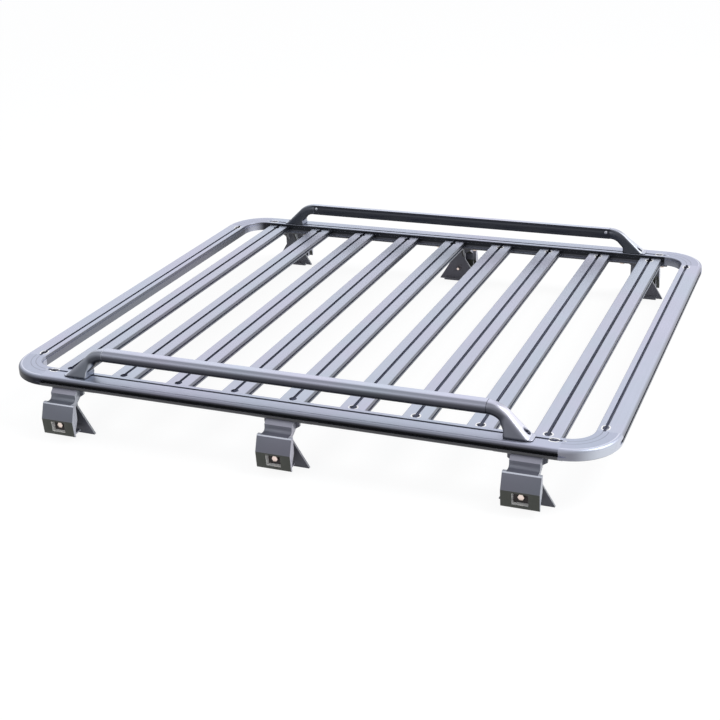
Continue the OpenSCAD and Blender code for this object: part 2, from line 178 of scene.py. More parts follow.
# Handling: broad soft clouds where hands and weather have changed the anodised tint
ELSEWHERE = (7.0, 3.0, 0.0)
VIOLET_TINT = (1.015, 0.985, 1.01, 1.0)
GREEN_TINT = (0.97, 1.01, 1.0, 1.0)
handling, g_in, g_out = new_group(
    "handling",
    [("Size", "Float", 6.0), ("Contrast", "Float", 0.08)],
    [("Tint", "Color", None), ("Cloud", "Float", None)])
tree = handling
place = object_place(tree)
cloud = put(tree, "ShaderNodeTexNoise", {
    "Vector": place, "Scale": g_in.outputs["Size"], "Detail": 4.0, "Roughness": 0.55}).outputs["Fac"]
drift = put(tree, "ShaderNodeTexNoise", {
    "Vector": vector_maths(tree, "ADD", place, ELSEWHERE), "Scale": 5.0, "Detail": 2.0}).outputs["Fac"]
swing = maths(tree, "MULTIPLY", maths(tree, "SUBTRACT", cloud, 0.5), g_in.outputs["Contrast"])
hue = blended(tree, ramp(tree, drift, 0.35, 0.65), VIOLET_TINT, GREEN_TINT)
tree.links.new(scaled(tree, hue, maths(tree, "ADD", swing, 1.0)), g_out.inputs["Tint"])
tree.links.new(cloud, g_out.inputs["Cloud"])

# Inside a block: 1 within the block and 0 outside it, for channels and grooves
within_block, g_in, g_out = new_group(
    "within_block",
    [("Point", "Vector", None), ("Middle", "Vector", None), ("Half", "Vector", None)],
    [("Mask", "Float", None)])
tree = within_block
off = vector_maths(tree, "SUBTRACT", g_in.outputs["Point"], g_in.outputs["Middle"])
off = vector_maths(tree, "ABSOLUTE", off)
room = parts_of(tree, vector_maths(tree, "SUBTRACT", g_in.outputs["Half"], off))
least = maths(tree, "MINIMUM", room["X"], maths(tree, "MINIMUM", room["Y"], room["Z"]))
tree.links.new(maths(tree, "GREATER_THAN", least, 0.0), g_out.inputs["Mask"])

# Milled walls: a painted highlight on the walls and broken rim of a round-ended opening, cut after the
# anodising. Spread is the least cosine between the wall's direction and the X axis.
ALL_ROUND = -1.1
WALL_PLAY = -0.0008
RIM_WIDTH = 0.003
LIP_BOTTOM = -0.0034
milled_wall_highlight, g_in, g_out = new_group(
    "milled_wall_highlight",
    [("Point", "Vector", None), ("Middle", "Vector", None), ("Reach", "Vector", None),
     ("Radius", "Float", 0.007), ("Spread", "Float", ALL_ROUND)],
    [("Mask", "Float", None)])
tree = milled_wall_highlight
off = vector_maths(tree, "SUBTRACT", g_in.outputs["Point"], g_in.outputs["Middle"])
beyond = vector_maths(tree, "SUBTRACT", vector_maths(tree, "ABSOLUTE", off), g_in.outputs["Reach"])
round_part = vector_maths(tree, "MAXIMUM", beyond, (0.0, 0.0, 0.0))
flat_part = vector_maths(tree, "MULTIPLY", round_part, (1.0, 1.0, 0.0))
radius = length_of(tree, flat_part)
past_wall = maths(tree, "SUBTRACT", radius, g_in.outputs["Radius"])
at_wall = maths(tree, "GREATER_THAN", past_wall, WALL_PLAY)
at_rim = maths(tree, "LESS_THAN", past_wall, RIM_WIDTH)
height = parts_of(tree, off)["Z"]
in_lips = maths(tree, "GREATER_THAN", height, LIP_BOTTOM)
banded = maths(tree, "MULTIPLY", maths(tree, "MULTIPLY", at_wall, at_rim), in_lips)
sideways = parts_of(tree, vector_maths(tree, "NORMALIZE", flat_part))["X"]
facing_rim = maths(tree, "GREATER_THAN", sideways, g_in.outputs["Spread"])
tree.links.new(maths(tree, "MULTIPLY", banded, facing_rim), g_out.inputs["Mask"])

# Painted shade for the insides of slots and channels.
CHANNEL_SHADE = srgb(168, 172, 188)
# A painted highlight on the walls of milled openings.
MILLED_HIGHLIGHT = srgb(250, 250, 252)


def channel(middle, half, shade):
    """A channel painted in shade: the block it lies in, and its painted shade colour."""
    return {"block": {"Middle": middle, "Half": half}, "shade": shade}


def notch(middle, reach, radius, spread=ALL_ROUND, share=None):
    """A milled opening, round-ended, with a painted highlight, and a function for the share of that highlight
    that is kept.
    """
    return {"opening": {"Middle": middle, "Reach": reach, "Radius": radius, "Spread": spread}, "share": share}


def metal(name, upper, shoulder, side, under, lit_shoulder=None, lit_side=None, shoulder_level=0.71,
          edge_level=0.71, stretch=(60.0, 60.0, 60.0), fold=None, channels=(), notches=(), dress=None,
          grain=0.1, roughness=0.4, metallic=1.0):
    """Satin metal or paint: light and shade painted by facing, grain, handling, painted shade in channels and a
    painted highlight on milled walls.
    """
    made = bpy.data.materials.new(name)
    made.use_nodes = True
    tree = made.node_tree
    tree.nodes.clear()
    streaks = use(tree, brushed_grain, {"Stretch": stretch, "Contrast": grain}).outputs
    marks = use(tree, handling, {"Size": 7.0, "Contrast": 0.1}).outputs
    colour = use(tree, facing_light_and_shade, {
        "Upper": upper, "Shoulder": shoulder, "Side": side, "Under": under,
        "Lit Shoulder": lit_shoulder or shoulder, "Lit Side": lit_side or side,
        "Shoulder Level": shoulder_level, "Edge Level": edge_level}).outputs["Color"]
    colour = vector_maths(tree, "MULTIPLY", colour, marks["Tint"])
    colour = scaled(tree, colour, streaks["Tone"])
    point = object_place(tree)
    if dress:
        colour = dress(tree, point, colour)
    if fold:
        point = fold(tree, point)
    for shaded_channel in channels:
        inside = use(tree, within_block, {"Point": point, **shaded_channel["block"]}).outputs["Mask"]
        colour = blended(tree, inside, colour, shaded_channel["shade"])
    for milled in notches:
        wall = use(tree, milled_wall_highlight, {"Point": point, **milled["opening"]}).outputs["Mask"]
        if milled["share"]:
            wall = maths(tree, "MULTIPLY", wall, milled["share"](tree))
        colour = blended(tree, wall, colour, MILLED_HIGHLIGHT)
    rough = maths(tree, "ADD", maths(tree, "MULTIPLY", marks["Cloud"], 0.12), roughness - 0.06)
    bump = put(tree, "ShaderNodeBump", {"Height": streaks["Height"], "Strength": 0.06, "Distance": 0.0004})
    shader = put(tree, "ShaderNodeBsdfPrincipled", {
        "Base Color": colour, "Metallic": metallic, "Roughness": rough, "Normal": bump.outputs[0]})
    put(tree, "ShaderNodeOutputMaterial", {"Surface": shader.outputs[0]})
    return made


def mirrored_point(tree, place):
    """Object coordinates with the far and left halves folded over the near and right ones."""
    return vector_maths(tree, "ABSOLUTE", place)


RAIL_END_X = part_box("side_rail_near")[1][0]
HALF_WIDTH = -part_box("side_rail_near")[0][1]
SLOT_Y = HALF_WIDTH - 0.043
SLOT_HALF_WIDTH = 0.0073
SLOT_Z = PLATFORM_TOP - 0.0065
SLOT_HALF_HEIGHT = 0.0058
GROOVE_FROM_SIDE = 0.0075
GROOVE_HALF_DEPTH = 0.0062
GROOVE_Z = PLATFORM_TOP - 0.0136
GROOVE_HALF_HEIGHT = 0.0075
GROOVE_ROOF_Z = GROOVE_Z + 0.0032
GROOVE_ROOF_HALF_HEIGHT = 0.0034
LOWER_LIP_TOP = PLATFORM_TOP - 0.0172
NOTCH_FROM_END = 0.018
NOTCH_RADIUS = 0.007
NOTCH_REACH = 0.003
ALONG = 1.0
GRAIN_ALONG = 4.0
GRAIN_ACROSS = 300.0
# Painted shade: the side below the groove, the groove's lower part, and the shadow under its roof.
LOWER_LIP = srgb(76, 76, 79)
GROOVE_SHADE = srgb(74, 75, 80)
GROOVE_SHADOW = srgb(16, 17, 18)


def lower_lip(tree, place, colour):
    """The side below the groove, its painted shade a little lighter than the side above it."""
    outer = maths(tree, "GREATER_THAN", maths(tree, "ABSOLUTE", facing_of(tree)["Y"]), 0.6)
    below = maths(tree, "LESS_THAN", parts_of(tree, place)["Z"], LOWER_LIP_TOP)
    return blended(tree, maths(tree, "MULTIPLY", outer, below), colour, LOWER_LIP)


rail_metal = metal(
    "rail_metal", upper=srgb(190, 195, 214), shoulder=srgb(112, 114, 126), side=srgb(40, 41, 45),
    under=srgb(44, 45, 46), lit_shoulder=srgb(150, 153, 166), lit_side=srgb(134, 136, 146),
    shoulder_level=0.62, stretch=(GRAIN_ALONG, GRAIN_ACROSS, GRAIN_ACROSS), fold=mirrored_point,
    channels=[
        channel((0.0, SLOT_Y, SLOT_Z), (ALONG, SLOT_HALF_WIDTH, SLOT_HALF_HEIGHT), CHANNEL_SHADE),
        channel((0.0, HALF_WIDTH - GROOVE_FROM_SIDE, GROOVE_Z),
                (ALONG, GROOVE_HALF_DEPTH, GROOVE_HALF_HEIGHT), GROOVE_SHADE),
        channel((0.0, HALF_WIDTH - GROOVE_FROM_SIDE, GROOVE_ROOF_Z),
                (ALONG, GROOVE_HALF_DEPTH, GROOVE_ROOF_HALF_HEIGHT), GROOVE_SHADOW)],
    notches=[notch((RAIL_END_X - NOTCH_FROM_END, SLOT_Y, PLATFORM_TOP), (NOTCH_REACH, 0.0, 0.0),
                   NOTCH_RADIUS)],
    dress=lower_lip)
for side in ("near", "far"):
    nodes["side_rail_" + side].data.materials[0] = rail_metal


# ---------------------------------------------------------------- end rails
# The two short rails have the same section without a ledge. Their slot lies further from the inner edge;
# their sides are painted in lighter shade than the side rails', with painted light where they face right.
HALF_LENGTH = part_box("end_rail_right")[1][0]
RAIL_END_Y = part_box("end_rail_right")[1][1]
END_SLOT_X = HALF_LENGTH - 0.041

end_rail_metal = metal(
    "end_rail_metal", upper=srgb(195, 199, 217), shoulder=srgb(170, 173, 186), side=srgb(106, 107, 116),
    under=srgb(60, 60, 66), lit_side=srgb(128, 130, 140), stretch=(GRAIN_ACROSS, GRAIN_ALONG, GRAIN_ACROSS),
    fold=mirrored_point,
    channels=[
        channel((END_SLOT_X, 0.0, SLOT_Z), (SLOT_HALF_WIDTH, ALONG, SLOT_HALF_HEIGHT), CHANNEL_SHADE),
        # Painted shade in the side groove.
        channel((HALF_LENGTH - GROOVE_FROM_SIDE, 0.0, GROOVE_Z),
                (GROOVE_HALF_DEPTH, ALONG, GROOVE_HALF_HEIGHT), srgb(52, 54, 60))],
    notches=[notch((END_SLOT_X, RAIL_END_Y - NOTCH_FROM_END, PLATFORM_TOP), (0.0, NOTCH_REACH, 0.0),
                   NOTCH_RADIUS)])
for end in ("left", "right"):
    nodes["end_rail_" + end].data.materials[0] = end_rail_metal


# ---------------------------------------------------------------- corner castings
# Four sand-cast quarter turns join the rails, blasted all over. On top they are ground smooth, with
# faint arcs from the wheel and a painted highlight line along the outer edge. Their sides are painted in
# shade, and the right ones are a lit copy, with painted light on their sides.
ARC_MIDDLE = (RAIL_END_X, RAIL_END_Y, 0.0)
GROUND_ARCS = (0.071, 0.083)
ARC_HALF_WIDTH = 0.0009
ARC_STRENGTH = 0.35
HIGHLIGHT_RADIUS = HALF_LENGTH - RAIL_END_X - 0.0088
HIGHLIGHT_HALF_WIDTH = 0.0013
HIGHLIGHT_STRENGTH = 0.8
WHEEL_MARKS_PER_METRE = 260.0
WHEEL_CONTRAST = 0.34
CASTING_TOP = srgb(184, 188, 208)
EDGE_HIGHLIGHT = srgb(226, 229, 244)
WHEEL_ARC_AND_SHADE_DARK = srgb(44, 44, 50)


def ground_arcs_and_highlight(tree, place, colour):
    """The wheel's faint arcs about the corner's middle, and a painted highlight line along the outer edge."""
    off = vector_maths(tree, "SUBTRACT", mirrored_point(tree, place), ARC_MIDDLE)
    radius = length_of(tree, vector_maths(tree, "MULTIPLY", off, (1.0, 1.0, 0.0)))
    wave = put(tree, "ShaderNodeTexNoise", {
        "W": maths(tree, "MULTIPLY", radius, WHEEL_MARKS_PER_METRE), "Detail": 2.0},
        noise_dimensions="1D").outputs["Fac"]
    swing = maths(tree, "MULTIPLY", maths(tree, "SUBTRACT", wave, 0.5), WHEEL_CONTRAST)
    colour = scaled(tree, colour, maths(tree, "ADD", swing, 1.0))
    for arc in GROUND_ARCS:
        score = maths(tree, "COMPARE", radius, arc, ARC_HALF_WIDTH)
        colour = blended(tree, maths(tree, "MULTIPLY", score, ARC_STRENGTH), colour, WHEEL_ARC_AND_SHADE_DARK)
    on_top = maths(tree, "GREATER_THAN", facing_of(tree)["Z"], 0.9)
    at_edge = maths(tree, "COMPARE", radius, HIGHLIGHT_RADIUS, HIGHLIGHT_HALF_WIDTH)
    line = maths(tree, "MULTIPLY", maths(tree, "MULTIPLY", at_edge, on_top), HIGHLIGHT_STRENGTH)
    return blended(tree, line, colour, EDGE_HIGHLIGHT)


# Shaded copy for the left corners: sides painted in shade.
casting_shaded = metal(
    "casting_shaded", upper=CASTING_TOP, shoulder=srgb(112, 114, 126), side=WHEEL_ARC_AND_SHADE_DARK,
    under=srgb(72, 68, 74), lit_shoulder=srgb(186, 189, 204), lit_side=srgb(184, 186, 200),
    shoulder_level=0.62, dress=ground_arcs_and_highlight, grain=0.08)
# Lit copy of the same casting for the right corners: sides painted light.
casting_lit = metal(
    "casting_lit", upper=CASTING_TOP, shoulder=srgb(146, 149, 162), side=srgb(126, 127, 137),
    under=srgb(150, 151, 160), lit_shoulder=srgb(196, 199, 214), lit_side=srgb(206, 208, 220),
    shoulder_level=0.62, dress=ground_arcs_and_highlight, grain=0.08)
for corner in ("near_left", "near_right", "far_left", "far_right"):
    cast = casting_lit if corner.endswith("right") else casting_shaded
    nodes["corner_" + corner].data.materials[0] = cast


# ---------------------------------------------------------------- slats
# Nine extruded slats cross the platform, with a slot on top and a groove in each
# side. They are sawn off square and rest on the side rails' ledges. The openings at
# their ends are milled, and carry a painted highlight that fades out toward the left.
SLAT_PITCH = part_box("slat_6")[0][0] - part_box("slat_5")[0][0]
SLAT_END, SLAT_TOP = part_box("slat_5")[1][1:]
SLAT_NOTCH_Y = SLAT_END - 0.022
HIGHLIGHT_NONE_UP_TO, HIGHLIGHT_FULL_FROM = 0.0, 0.2


def slat_point(tree, place):
    """Object coordinates of any slat, moved to the middle of its own width and folded over."""
    parts = parts_of(tree, place)
    across = maths(tree, "WRAP", parts["X"], SLAT_PITCH / 2, -SLAT_PITCH / 2)
    moved = put(tree, "ShaderNodeCombineXYZ", {"X": across, "Y": parts["Y"], "Z": parts["Z"]}).outputs[0]
    return mirrored_point(tree, moved)


def highlight_share(tree):
    """How much of the milled walls' painted highlight is kept, none on the left half, rising to all of it
    toward the right.
    """
    return ramp(tree, parts_of(tree, object_place(tree))["X"], HIGHLIGHT_NONE_UP_TO, HIGHLIGHT_FULL_FROM)


slat_metal = metal(
    "slat_metal", upper=srgb(194, 198, 215), shoulder=srgb(168, 171, 184), side=srgb(78, 80, 88),
    under=srgb(70, 70, 76), lit_side=srgb(130, 132, 142), stretch=(GRAIN_ACROSS, GRAIN_ALONG, GRAIN_ACROSS),
    fold=slat_point,
    channels=[channel((0.0, 0.0, SLAT_TOP - 0.0081), (0.0088, ALONG, 0.0057), CHANNEL_SHADE)],
    notches=[notch((0.0, SLAT_NOTCH_Y, SLAT_TOP), (0.0, 0.0, 0.0), 0.009, spread=0.35, share=highlight_share)])
for number in range(1, 10):
    nodes["slat_%d" % number].data.materials[0] = slat_metal


# ---------------------------------------------------------------- guard rails
# A low D-shaped tube along each side, flat face inward, cut square and anodised, its top painted light
# and its sides painted in shade. The flat face looks at the load and is painted in darker shade.
FLAT_FACE_PLAY = 0.0025
FLAT_FACE_Y = FLAT_FACE_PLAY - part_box("guard_tube_near")[1][1]
FLAT_FACE_SHADE = srgb(52, 54, 60)


def shaded_flat_face(tree, place, colour):
    """The tube's flat inner face, painted in shade."""
    inner = maths(tree, "LESS_THAN", parts_of(tree, mirrored_point(tree, place))["Y"], FLAT_FACE_Y)
    upright = maths(tree, "LESS_THAN", maths(tree, "ABSOLUTE", facing_of(tree)["Z"]), 0.5)
    return blended(tree, maths(tree, "MULTIPLY", inner, upright), colour, FLAT_FACE_SHADE)


tube_metal = metal(
    "tube_metal", upper=srgb(208, 212, 230), shoulder=srgb(138, 141, 154), side=srgb(64, 65, 72),
    under=srgb(36, 36, 40), shoulder_level=0.6, edge_level=0.9,
    stretch=(GRAIN_ALONG, GRAIN_ACROSS, GRAIN_ACROSS), dress=shaded_flat_face)
for side in ("near", "far"):
    nodes["guard_tube_" + side].data.materials[0] = tube_metal


# ---------------------------------------------------------------- guard rail brackets
# Cast aluminium ends that go into the tubes and bend down to the side rails. Their
# edges run into each other softly, as in a casting, except at the seat and the joint.
# The arm's back is painted with a highlight where it faces right, and its outer face is painted in shade.
JOINT_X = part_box("guard_tube_near")[1][0]
BRACKET_VOXEL = 0.0014
SOFTENING_PASSES = 30
EDGE_PASSES = 3
EDGE_SHARE = 0.35
JOINT_KEPT = 0.001
SEAT_KEPT = 0.006
FREE_WITHIN = 0.02


def merged(node):
    """An editable copy of a CAD piece's mesh, its loose triangles joined."""
    form = bmesh.new()
    form.from_mesh(nodes[node].data)
    bmesh.ops.remove_doubles(form, verts=form.verts, dist=0.00001)
    return form


def stand_for(node, form, materials):
    """A finished piece from an edited mesh, in the place of a CAD piece."""
    bmesh.ops.recalc_face_normals(form, faces=form.faces)
    mesh = bpy.data.meshes.new(node + "_finished")
    form.to_mesh(mesh)
    form.free()
    for made in materials:
        mesh.materials.append(made)
    piece = bpy.data.objects.new(node + "_finished", mesh)
    bpy.context.scene.collection.objects.link(piece)
    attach(piece, "root")
    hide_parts(node)


def evaluated_form(piece):
    """The mesh that a piece's modifiers give, for editing."""
    graph = bpy.context.evaluated_depsgraph_get()
    mesh = bpy.data.meshes.new_from_object(piece.evaluated_get(graph), depsgraph=graph)
    form = bmesh.new()
    form.from_mesh(mesh)
    bpy.data.meshes.remove(mesh)
    return form


def cast_form(node):
    """A casting's soft edges: the piece remeshed, then evened out away from seat and joint."""
    form = merged(node)
    mesh = bpy.data.meshes.new("casting_pattern")
    form.to_mesh(mesh)
    form.free()
    pattern = bpy.data.objects.new("casting_pattern", mesh)
    bpy.context.scene.collection.objects.link(pattern)
    remesh = pattern.modifiers.new("remesh", "REMESH")
    remesh.mode = "VOXEL"
    remesh.voxel_size = BRACKET_VOXEL
    form = evaluated_form(pattern)
    bpy.data.objects.remove(pattern)
    bpy.data.meshes.remove(mesh)
    free = {v: min(max((abs(v.co.x) - JOINT_X - JOINT_KEPT) / FREE_WITHIN, 0.0), 1.0)
            * min(max((v.co.z - PLATFORM_TOP - SEAT_KEPT) / FREE_WITHIN, 0.0), 1.0) for v in form.verts}
    for number in range(SOFTENING_PASSES):
        moved = {}
        for v in form.verts:
            takes_edges = number < EDGE_PASSES and abs(v.co.x) > JOINT_X + 2 * JOINT_KEPT
            share = 0.5 * max(free[v], EDGE_SHARE if takes_edges else 0.0)
            if share:
                ring = [e.other_vert(v).co for e in v.link_edges]
                moved[v] = v.co.lerp(sum(ring, Vector()) / len(ring), share)
        for v, co in moved.items():
            v.co = co
    for face in form.faces:
        face.smooth = True
    return form


bracket_metal = metal(
    "bracket_metal", upper=srgb(205, 209, 226), shoulder=srgb(128, 131, 142), side=srgb(64, 66, 73),
    under=srgb(30, 31, 36), lit_shoulder=srgb(238, 240, 250), lit_side=srgb(176, 178, 190),
    shoulder_level=0.65, edge_level=0.85, grain=0.06)
for side in ("near", "far"):
    for end in ("left", "right"):
        node = "guard_bracket_%s_%s" % (side, end)
        stand_for(node, cast_form(node), [bracket_metal])


# ---------------------------------------------------------------- feet
# Each foot is a black painted steel leg under the side rail, with a grey painted
# clamp that hooks under the gutter, and one bolt through both. Every edge is broken and
# lighter, partly worn paint and partly a painted highlight, and faces that look right are painted light.
FOOT_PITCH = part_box("clamp_near_right")[0][0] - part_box("clamp_near_middle")[0][0]
CLAMP_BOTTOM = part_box("clamp_near_middle")[0][2]
CLAMP_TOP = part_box("clamp_near_middle")[1][2]
CLAMP_FACE = -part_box("clamp_near_middle")[0][1]
CHAMFER_BOTTOM = CLAMP_TOP - 0.0105
STEP_EDGE_Z = CLAMP_TOP - 0.0272
STEP_EDGE_HALF_HEIGHT = 0.0014
CREASE_Z = CLAMP_BOTTOM + 0.0415
POCKET_MIDDLE = (0.0, CLAMP_FACE - 0.0085, CLAMP_BOTTOM + 0.0235)
POCKET_HALF = (0.0182, 0.0077, 0.0137)
# Painted shade and light for the clamp: its pocket, its face below the crease, its chamfer and its step edge.
POCKET_SHADE = srgb(34, 26, 26)
POCKET_LIT = srgb(255, 255, 252)
BELOW_CREASE_SHADE = srgb(62, 64, 59)
CHAMFER_LIT = srgb(156, 156, 170)
STEP_HIGHLIGHT = srgb(204, 208, 220)
FLAT_ANGLE, SHARP_ANGLE, SMOOTH_ANGLE = math.radians(1.0), math.radians(28), math.radians(40)


def foot_point(tree, place):
    """Object coordinates of any foot, moved to its own middle and folded over."""
    parts = parts_of(tree, place)
    across = maths(tree, "WRAP", parts["X"], FOOT_PITCH / 2, -FOOT_PITCH / 2)
    moved = put(tree, "ShaderNodeCombineXYZ", {"X": across, "Y": parts["Y"], "Z": parts["Z"]}).outputs[0]
    return mirrored_point(tree, moved)


def clamp_light_and_shade(tree, place, colour):
    """The clamp's chamfer painted light, a painted highlight on its step edge, painted shade on its face below
    the crease, and its pocket. The pocket is painted in shade inside, with painted light on its left and lower
    walls.
    """
    facing = facing_of(tree)
    height = parts_of(tree, place)["Z"]
    high = maths(tree, "GREATER_THAN", height, CHAMFER_BOTTOM)
    slanted = maths(tree, "COMPARE", facing["Z"], 0.7, 0.25)
    colour = blended(tree, maths(tree, "MULTIPLY", high, slanted), colour, CHAMFER_LIT)
    at_step = maths(tree, "COMPARE", height, STEP_EDGE_Z, STEP_EDGE_HALF_HEIGHT)
    upward = maths(tree, "GREATER_THAN", facing["Z"], 0.35)
    colour = blended(tree, maths(tree, "MULTIPLY", at_step, upward), colour, STEP_HIGHLIGHT)
    low = maths(tree, "LESS_THAN", height, CREASE_Z)
    outward = maths(tree, "GREATER_THAN", maths(tree, "ABSOLUTE", facing["Y"]), 0.5)
    colour = blended(tree, maths(tree, "MULTIPLY", low, outward), colour, BELOW_CREASE_SHADE)
    inside = use(tree, within_block, {
        "Point": foot_point(tree, place), "Middle": POCKET_MIDDLE, "Half": POCKET_HALF}).outputs["Mask"]
    lit = maths(tree, "GREATER_THAN", maths(tree, "MAXIMUM", facing["X"], facing["Z"]), 0.6)
    return blended(tree, inside, colour, blended(tree, lit, POCKET_SHADE, POCKET_LIT))


def edged_form(node, width):
    """A pressed or cast piece with its sharp edges broken; the broken edges take a second material."""
    form = merged(node)
    bmesh.ops.dissolve_limit(form, angle_limit=FLAT_ANGLE, verts=form.verts, edges=form.edges)
    bmesh.ops.recalc_face_normals(form, faces=form.faces)
    sharp = [e for e in form.edges if len(e.link_faces) == 2 and e.calc_face_angle(0.0) > SHARP_ANGLE]
    bmesh.ops.bevel(form, geom=sharp, offset=width, segments=2, profile=0.5, affect="EDGES",
                    clamp_overlap=True, material=1)
    for face in form.faces:
        face.smooth = True
    for edge in form.edges:
        edge.smooth = len(edge.link_faces) == 2 and edge.calc_face_angle(0.0) < SMOOTH_ANGLE
    return form


leg_paint = metal(
    "leg_paint", upper=srgb(120, 121, 128), shoulder=srgb(108, 109, 116), side=srgb(98, 98, 108),
    under=srgb(30, 30, 32), lit_shoulder=srgb(226, 227, 233), lit_side=srgb(226, 227, 233),
    grain=0.0, roughness=0.5, metallic=0.0)
# Broken edges: partly worn paint and partly a painted highlight, lighter still where they face right.
leg_edge = metal(
    "leg_edge", upper=srgb(214, 215, 222), shoulder=srgb(206, 207, 214), side=srgb(150, 151, 158),
    under=srgb(70, 70, 74), lit_shoulder=srgb(244, 245, 250), lit_side=srgb(244, 245, 250),
    metallic=0.0)
clamp_paint = metal(
    "clamp_paint", upper=srgb(112, 114, 126), shoulder=srgb(118, 121, 132), side=srgb(106, 108, 119),
    under=srgb(66, 68, 62), lit_side=srgb(206, 207, 218), shoulder_level=0.75, edge_level=0.8,
    dress=clamp_light_and_shade, grain=0.04, roughness=0.42, metallic=0.3)
# Broken edges: partly worn paint and partly a painted highlight, lighter still where they face right.
clamp_edge = metal(
    "clamp_edge", upper=srgb(200, 203, 216), shoulder=srgb(190, 193, 206), side=srgb(150, 152, 160),
    under=srgb(90, 91, 90), lit_side=srgb(236, 238, 246), shoulder_level=0.75, edge_level=0.8,
    metallic=0.4)
bolt_steel = metal(
    "bolt_steel", upper=srgb(236, 224, 214), shoulder=srgb(226, 212, 202), side=srgb(232, 214, 204),
    under=srgb(130, 120, 112), grain=0.08, roughness=0.3)
# Each kind of piece: the width of its broken edges, its materials and its slot
foot_pieces = {
    "leg": (0.0012, [leg_paint, leg_edge], "black_steel"),
    "clamp": (0.0011, [clamp_paint, clamp_edge], "dark_aluminium"),
    "foot_bolts": (0.0005, [bolt_steel, bolt_steel], "bright_steel")}
for side in ("near", "far"):
    for place in ("left", "middle", "right"):
        for kind, (width, materials, slot) in foot_pieces.items():
            node = "%s_%s_%s" % (kind, side, place)
            stand_for(node, edged_form(node, width), materials)


# ---------------------------------------------------------------- screws and pins
# Button-head screws hold the tubes on the brackets' tongues, cap screws sit in the
# brackets' pockets, and small screws pin the castings to the rails at every seam.
# One head is turned on a lathe profile and set out over a list of places.
fastener_field = bpy.data.node_groups.new("fastener_field", "GeometryNodeTree")
tree = fastener_field
for label, kind, start in (
        ("Places", "Geometry", None), ("Head", "Object", None), ("Size", "Float", 1.0),
        ("Spin Seed", "Int", 3), ("Finish", "Material", None)):
    socket = tree.interface.new_socket(label, in_out="INPUT", socket_type="NodeSocket" + kind)
    if start is not None:
        socket.default_value = start
tree.interface.new_socket("Fasteners", in_out="OUTPUT", socket_type="NodeSocketGeometry")
g_in, g_out = tree.nodes.new("NodeGroupInput"), tree.nodes.new("NodeGroupOutput")
head_mesh = put(tree, "GeometryNodeObjectInfo", {"Object": g_in.outputs["Head"]}).outputs["Geometry"]
outward = put(tree, "GeometryNodeInputNamedAttribute", {"Name": "outward"}, data_type="FLOAT_VECTOR")
turned = put(tree, "FunctionNodeAlignRotationToVector", {"Vector": outward.outputs["Attribute"]}, axis="Z")
spin = put(tree, "FunctionNodeRandomValue", {
    "Min": 0.0, "Max": 2 * math.pi, "Seed": g_in.outputs["Spin Seed"]}, data_type="FLOAT")
spun = put(tree, "ShaderNodeCombineXYZ", {"Z": spin.outputs["Value"]}).outputs[0]
set_out = put(tree, "GeometryNodeInstanceOnPoints", {
    "Points": g_in.outputs["Places"], "Instance": head_mesh, "Rotation": turned.outputs["Rotation"],
    "Scale": g_in.outputs["Size"]}).outputs["Instances"]
set_out = put(tree, "GeometryNodeRotateInstances", {"Instances": set_out, "Rotation": spun})
real = put(tree, "GeometryNodeRealizeInstances", {"Geometry": set_out.outputs["Instances"]}).outputs["Geometry"]
finished = put(tree, "GeometryNodeSetMaterial", {"Geometry": real, "Material": g_in.outputs["Finish"]})
tree.links.new(finished.outputs["Geometry"], g_out.inputs["Fasteners"])

HEAD_SIDES = 24


def turned_head(name, profile, socket_radius, socket_depth):
    """A screw head from its profile of radius and height, with a six-sided socket in its top."""
    form = bmesh.new()
    top = profile[-1][1]
    rings = []
    for radius, height in profile + [(None, top), (None, top - socket_depth)]:
        ring = []
        for i in range(HEAD_SIDES):
            angle = 2 * math.pi * i / HEAD_SIDES
            flat = math.cos(math.pi / 6) / math.cos(angle % (math.pi / 3) - math.pi / 6)
            reach = socket_radius * flat if radius is None else radius
            ring.append(form.verts.new((reach * math.cos(angle), reach * math.sin(angle), height)))
        rings.append(ring)
    for low, high in zip(rings, rings[1:]):
        for i in range(HEAD_SIDES):
            j = (i + 1) % HEAD_SIDES
            form.faces.new((low[i], low[j], high[j], high[i]))
    form.faces.new(rings[0][::-1])
    form.faces.new(rings[-1])
    bmesh.ops.recalc_face_normals(form, faces=form.faces)
    mesh = bpy.data.meshes.new(name)
    form.to_mesh(mesh)
    form.free()
    head = bpy.data.objects.new(name, mesh)
    bpy.context.scene.collection.objects.link(head)
    return head


def set_fasteners(name, head, places, finish, seed):
    """Screws or pins at the given places, each with the direction it faces, as one plain mesh."""
    mesh = bpy.data.meshes.new(name + "_places")
    mesh.from_pydata([place for place, outward in places], [], [])
    outwards = mesh.attributes.new("outward", "FLOAT_VECTOR", "POINT")
    for i, (place, outward) in enumerate(places):
        outwards.data[i].vector = outward
    field = bpy.data.objects.new(name + "_places", mesh)
    bpy.context.scene.collection.objects.link(field)
    modifier = field.modifiers.new("fasteners", "NODES")
    modifier.node_group = fastener_field
    sockets = {item.name: item.identifier for item in fastener_field.interface.items_tree
               if item.in_out == "INPUT"}
    modifier[sockets["Head"]] = head
    modifier[sockets["Size"]] = 1.0
    modifier[sockets["Spin Seed"]] = seed
    modifier[sockets["Finish"]] = finish
    graph = bpy.context.evaluated_depsgraph_get()
    plain = bpy.data.meshes.new_from_object(field.evaluated_get(graph), depsgraph=graph)
    plain.name = name
    bpy.data.objects.remove(field)
    bpy.data.objects.remove(head)
    piece = bpy.data.objects.new(name, plain)
    bpy.context.scene.collection.objects.link(piece)
    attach(piece, "root")


